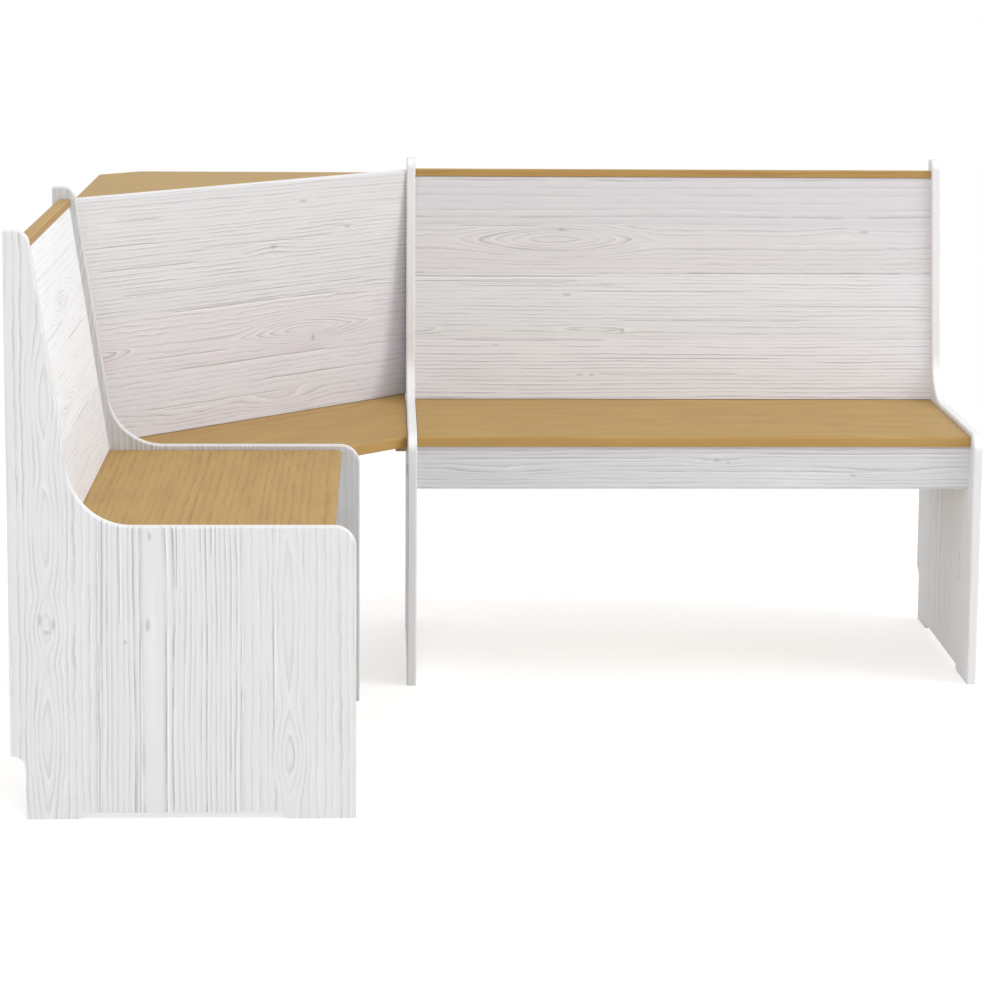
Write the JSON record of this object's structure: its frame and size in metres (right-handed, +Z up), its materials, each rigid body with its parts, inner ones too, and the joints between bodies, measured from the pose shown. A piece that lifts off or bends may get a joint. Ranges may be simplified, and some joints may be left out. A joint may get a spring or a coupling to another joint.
{
  "type": "corner bench",
  "caption": "L-shaped corner bench with a long and a short seat, a diagonal corner seat, sloping panelled backrests and upright side panels, for a dining nook.",
  "frame": {"origin": "on the floor, at the middle of the whole bench's plan", "axes": "+X along the long seat, away from the corner; +Y towards the wall behind the long seat; +Z up"},
  "size_m": [1.556, 1.239, 0.86],
  "materials": {
    "whitewashed_pine": "glued pine boards, brushed and whitewashed pale grey, satin",
    "honey_pine": "glued pine boards, stained honey brown and waxed",
    "planed_pine": "plain planed pine, left bare where it doesn't show",
    "beech_dowel": "fluted beech",
    "zinc_steel": "bright zinc-plated steel",
    "cap_plastic": "pale grey moulded plastic"
  },
  "bodies": {
    "root": {"apron_barrel_nuts": "zinc_steel", "apron_bolts": "zinc_steel", "backrest_cleat_screws": "zinc_steel", "backrest_screws": "zinc_steel", "bolt_cover_caps": "cap_plastic", "corner_backrest": "whitewashed_pine", "corner_rear_rail": "planed_pine", "corner_screws": "zinc_steel", "corner_seat": "honey_pine", "corner_seat_left_cleat": "planed_pine", "corner_seat_right_cleat": "planed_pine", "corner_shelf": "honey_pine", "corner_shelf_batten": "planed_pine", "corner_shelf_left_bracket": "planed_pine", "corner_shelf_right_bracket": "planed_pine", "dowels": "beech_dowel", "front_end_panel": "whitewashed_pine", "long_apron": "whitewashed_pine", "long_backrest": "whitewashed_pine", "long_backrest_inner_cleat": "planed_pine", "long_backrest_outer_cleat": "planed_pine", "long_inner_panel": "whitewashed_pine", "long_rear_rail": "planed_pine", "long_seat": "honey_pine", "long_seat_inner_cleat": "planed_pine", "long_seat_outer_cleat": "planed_pine", "long_top_cap": "honey_pine", "right_end_panel": "whitewashed_pine", "seat_cleat_screws": "zinc_steel", "seat_screws": "zinc_steel", "shelf_batten_screws": "zinc_steel", "short_apron": "whitewashed_pine", "short_backrest": "whitewashed_pine", "short_backrest_inner_cleat": "planed_pine", "short_backrest_outer_cleat": "planed_pine", "short_inner_panel": "whitewashed_pine", "short_rear_rail": "planed_pine", "short_seat": "honey_pine", "short_seat_inner_cleat": "planed_pine", "short_seat_outer_cleat": "planed_pine", "short_top_cap": "honey_pine"}
  },
  "joints": []
}
